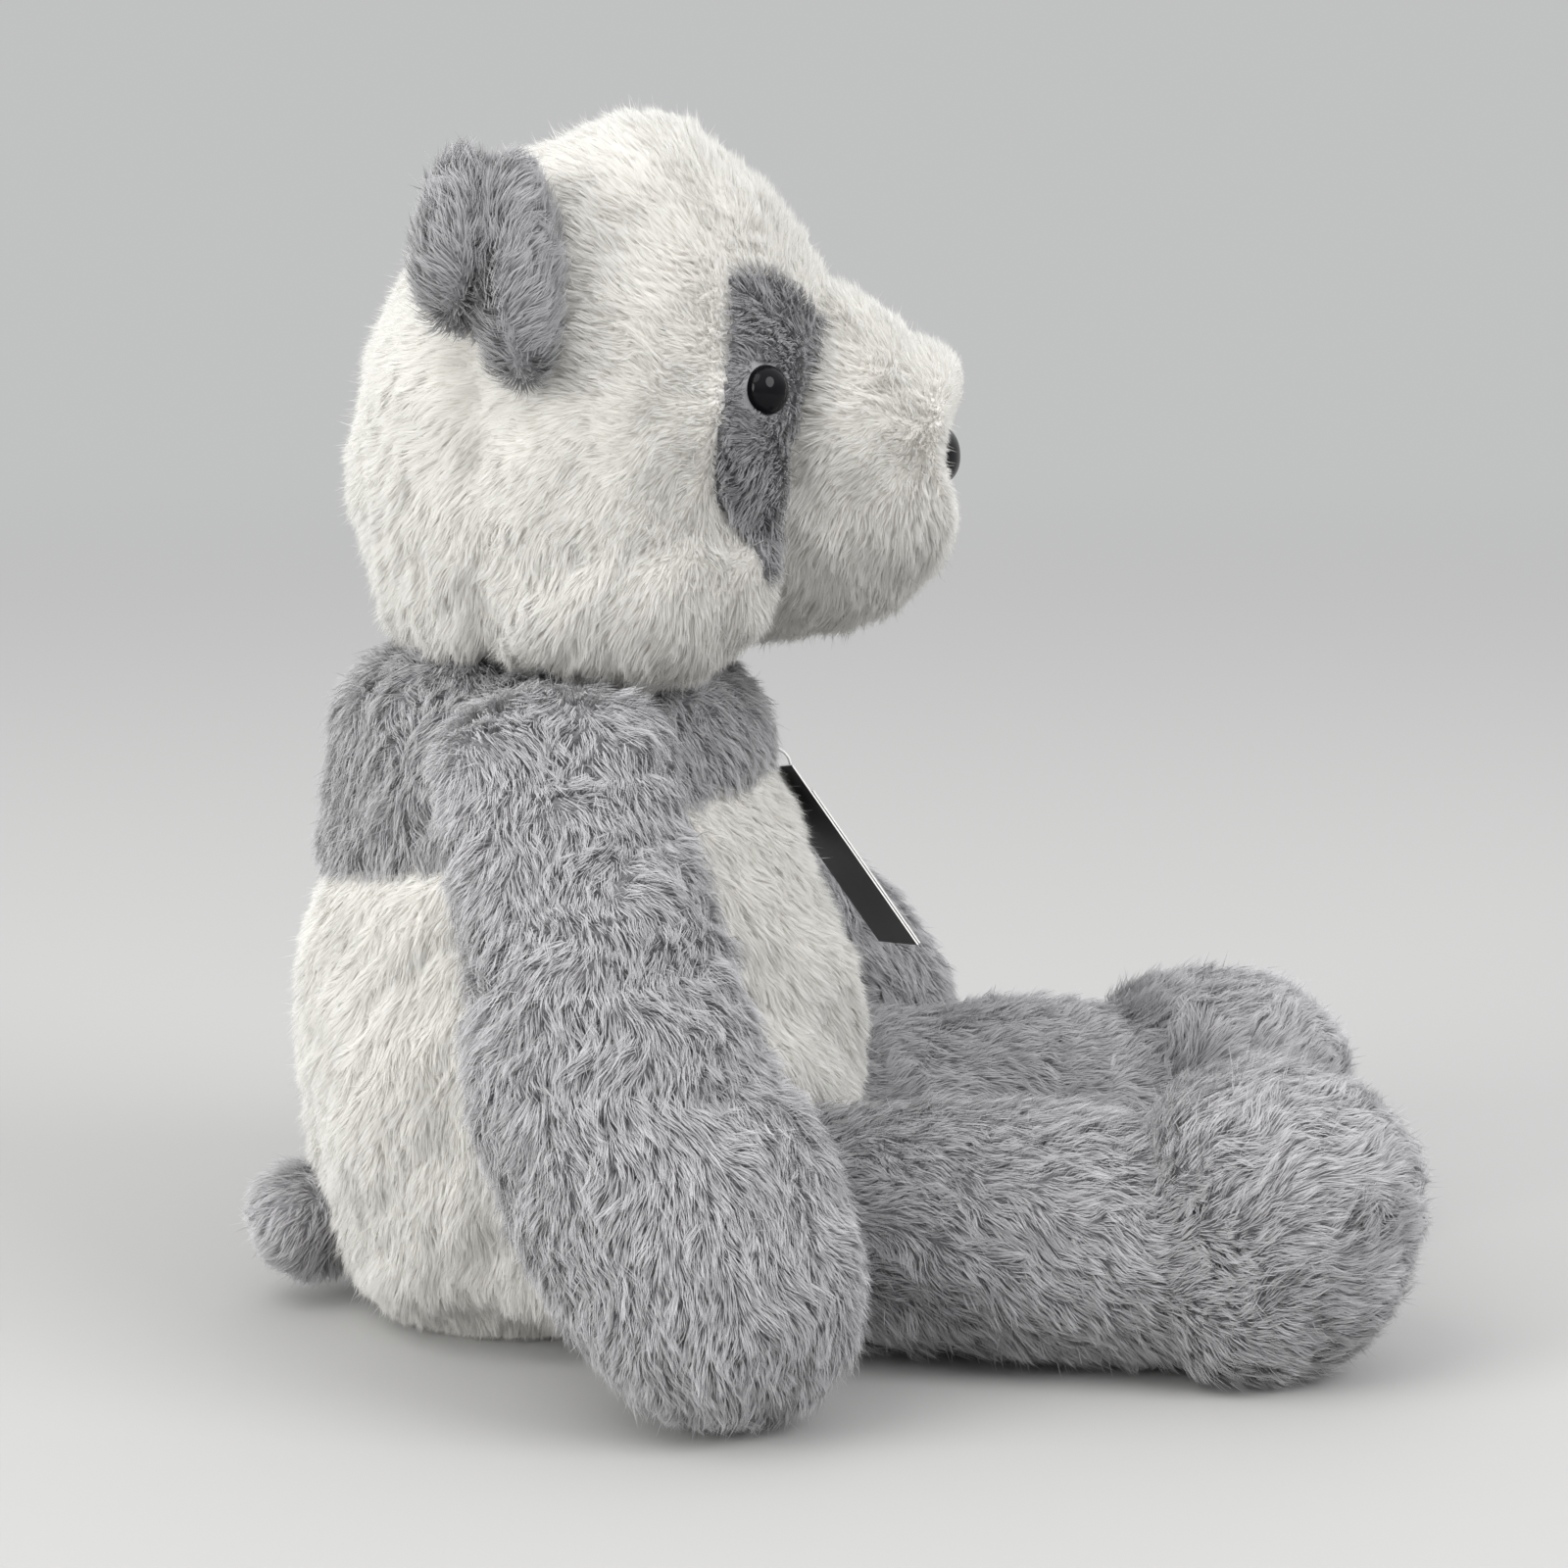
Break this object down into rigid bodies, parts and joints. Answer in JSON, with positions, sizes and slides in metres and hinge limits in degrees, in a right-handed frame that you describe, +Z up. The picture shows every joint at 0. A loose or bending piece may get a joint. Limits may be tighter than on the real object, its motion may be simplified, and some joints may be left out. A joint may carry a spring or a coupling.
{
  "type": "plush toy panda",
  "caption": "Seated soft panda plush with a floppy head, long hanging arms, straight legs, round ears, a stub tail and a blank swing tag.",
  "frame": {"origin": "centre of the seat base, on the surface the toy sits on", "axes": "+Z up, -Y the way the toy faces, -X its right side"},
  "size_m": [0.2476, 0.2733, 0.2852],
  "materials": {
    "cream_pile": "matte",
    "grey_pile": "matte",
    "filling": "matte",
    "thread": "matte",
    "pouch_cloth": "matte",
    "pellets": "matte",
    "black_plastic": "gloss",
    "washer_plastic": "matte",
    "fastener_plastic": "satin",
    "tag_card": "satin"
  },
  "bodies": {
    "torso": {"body_cover": "cream_pile", "shoulder_yoke": "grey_pile", "base_panel": "cream_pile", "torso_filling": "filling", "bean_pouch": "pouch_cloth", "pellet_fill": "pellets", "tag_fastener": "fastener_plastic"},
    "neck_seam": {"neck_seam_thread": "thread"},
    "neck_gather": {"neck_gather_thread": "thread"},
    "head": {"head_back_panel": "cream_pile", "head_side_panel_right": "cream_pile", "head_side_panel_left": "cream_pile", "forehead_panel": "cream_pile", "eye_patch_right": "grey_pile", "eye_patch_left": "grey_pile", "muzzle_cover": "cream_pile", "chin_panel": "cream_pile", "head_filling": "filling", "eye_right": "black_plastic", "eye_left": "black_plastic", "eye_washer_right": "washer_plastic", "eye_washer_left": "washer_plastic", "nose": "black_plastic", "nose_washer": "washer_plastic"},
    "tail": {"tail_cover": "grey_pile", "tail_filling": "filling"},
    "tag": {"tag_rear_leaf": "tag_card"},
    "tag_front": {"tag_front_leaf": "tag_card"},
    "ear_right": {"ear_outer_panel_right": "grey_pile", "ear_inner_panel_right": "grey_pile", "ear_padding_right": "filling"},
    "shoulder_right": {"shoulder_seam_right": "thread"},
    "arm_right": {"arm_outer_panel_right": "grey_pile", "arm_inner_panel_right": "grey_pile", "arm_filling_right": "filling"},
    "hip_right": {"hip_seam_right": "thread"},
    "leg_right": {"leg_cover_right": "grey_pile", "foot_cover_right": "grey_pile", "sole_pad_right": "grey_pile", "leg_filling_right": "filling"},
    "ear_left": {"ear_outer_panel_left": "grey_pile", "ear_inner_panel_left": "grey_pile", "ear_padding_left": "filling"},
    "shoulder_left": {"shoulder_seam_left": "thread"},
    "arm_left": {"arm_outer_panel_left": "grey_pile", "arm_inner_panel_left": "grey_pile", "arm_filling_left": "filling"},
    "hip_left": {"hip_seam_left": "thread"},
    "leg_left": {"leg_cover_left": "grey_pile", "foot_cover_left": "grey_pile", "sole_pad_left": "grey_pile", "leg_filling_left": "filling"}
  },
  "joints": [
    {"name": "neck_tilt", "type": "hinge", "parent": "torso", "child": "neck_seam", "pos_m": [0, 0.004, 0.1625], "axis": [0, 1, 0], "range_deg": [-8, 8], "stiffness_Nm_per_rad": 0.6},
    {"name": "neck_turn", "type": "hinge", "parent": "neck_seam", "child": "neck_gather", "pos_m": [0, 0.004, 0.1625], "axis": [0, 0, 1], "range_deg": [-40, 40], "stiffness_Nm_per_rad": 0.15},
    {"name": "neck_nod", "type": "hinge", "parent": "neck_gather", "child": "head", "pos_m": [0, 0.004, 0.1625], "axis": [1, 0, 0], "range_deg": [-12, 10], "stiffness_Nm_per_rad": 0.6},
    {"name": "arm_swing_right", "type": "hinge", "parent": "torso", "child": "shoulder_right", "pos_m": [-0.0514, 0.002, 0.146], "axis": [-1, 0, 0], "range_deg": [-40, 110], "stiffness_Nm_per_rad": 0.06},
    {"name": "arm_swing_left", "type": "hinge", "parent": "torso", "child": "shoulder_left", "pos_m": [0.0514, 0.002, 0.146], "axis": [-1, 0, 0], "range_deg": [-55, 95], "stiffness_Nm_per_rad": 0.06},
    {"name": "arm_spread_right", "type": "hinge", "parent": "shoulder_right", "child": "arm_right", "pos_m": [-0.0515, 0.002, 0.156], "axis": [0, 1, 0], "range_deg": [0, 45], "stiffness_Nm_per_rad": 0.06},
    {"name": "arm_spread_left", "type": "hinge", "parent": "shoulder_left", "child": "arm_left", "pos_m": [0.0515, 0.00476, 0.15561], "axis": [0, -0.9613, 0.2756], "range_deg": [0, 45], "stiffness_Nm_per_rad": 0.06},
    {"name": "leg_swing_right", "type": "hinge", "parent": "torso", "child": "hip_right", "pos_m": [-0.038, -0.045, 0.03], "axis": [-0.989, 0.1478, 0], "range_deg": [-60, 20], "stiffness_Nm_per_rad": 0.12},
    {"name": "leg_swing_left", "type": "hinge", "parent": "torso", "child": "hip_left", "pos_m": [0.038, -0.045, 0.03], "axis": [-0.989, -0.1478, 0], "range_deg": [-60, 20], "stiffness_Nm_per_rad": 0.12},
    {"name": "leg_splay_right", "type": "hinge", "parent": "hip_right", "child": "leg_right", "pos_m": [-0.038, -0.045, 0.03], "axis": [0, 0, -1], "range_deg": [0, 9], "stiffness_Nm_per_rad": 0.12},
    {"name": "leg_splay_left", "type": "hinge", "parent": "hip_left", "child": "leg_left", "pos_m": [0.038, -0.045, 0.03], "axis": [0, 0, 1], "range_deg": [0, 9], "stiffness_Nm_per_rad": 0.12},
    {"name": "ear_flex_right", "type": "hinge", "parent": "head", "child": "ear_right", "pos_m": [-0.0526, 0.003, 0.2518], "axis": [0.5736, 0, 0.8192], "range_deg": [-5, 30], "stiffness_Nm_per_rad": 0.008},
    {"name": "ear_flex_left", "type": "hinge", "parent": "head", "child": "ear_left", "pos_m": [0.0526, 0.003, 0.2518], "axis": [0.5736, 0, -0.8192], "range_deg": [-5, 30], "stiffness_Nm_per_rad": 0.008},
    {"name": "tail_flex", "type": "hinge", "parent": "torso", "child": "tail", "pos_m": [0, 0.0606, 0.0235], "axis": [1, 0, 0], "range_deg": [-15, 15], "stiffness_Nm_per_rad": 0.006},
    {"name": "tag_swing", "type": "hinge", "parent": "torso", "child": "tag", "pos_m": [0.0194, -0.04878, 0.12682], "axis": [-0.958, -0.2358, 0.1632], "range_deg": [0, 60]},
    {"name": "tag_open", "type": "hinge", "parent": "tag", "child": "tag_front", "pos_m": [0.03684, -0.04449, 0.12385], "axis": [0, 0.569, 0.8223], "range_deg": [0, 150]}
  ]
}
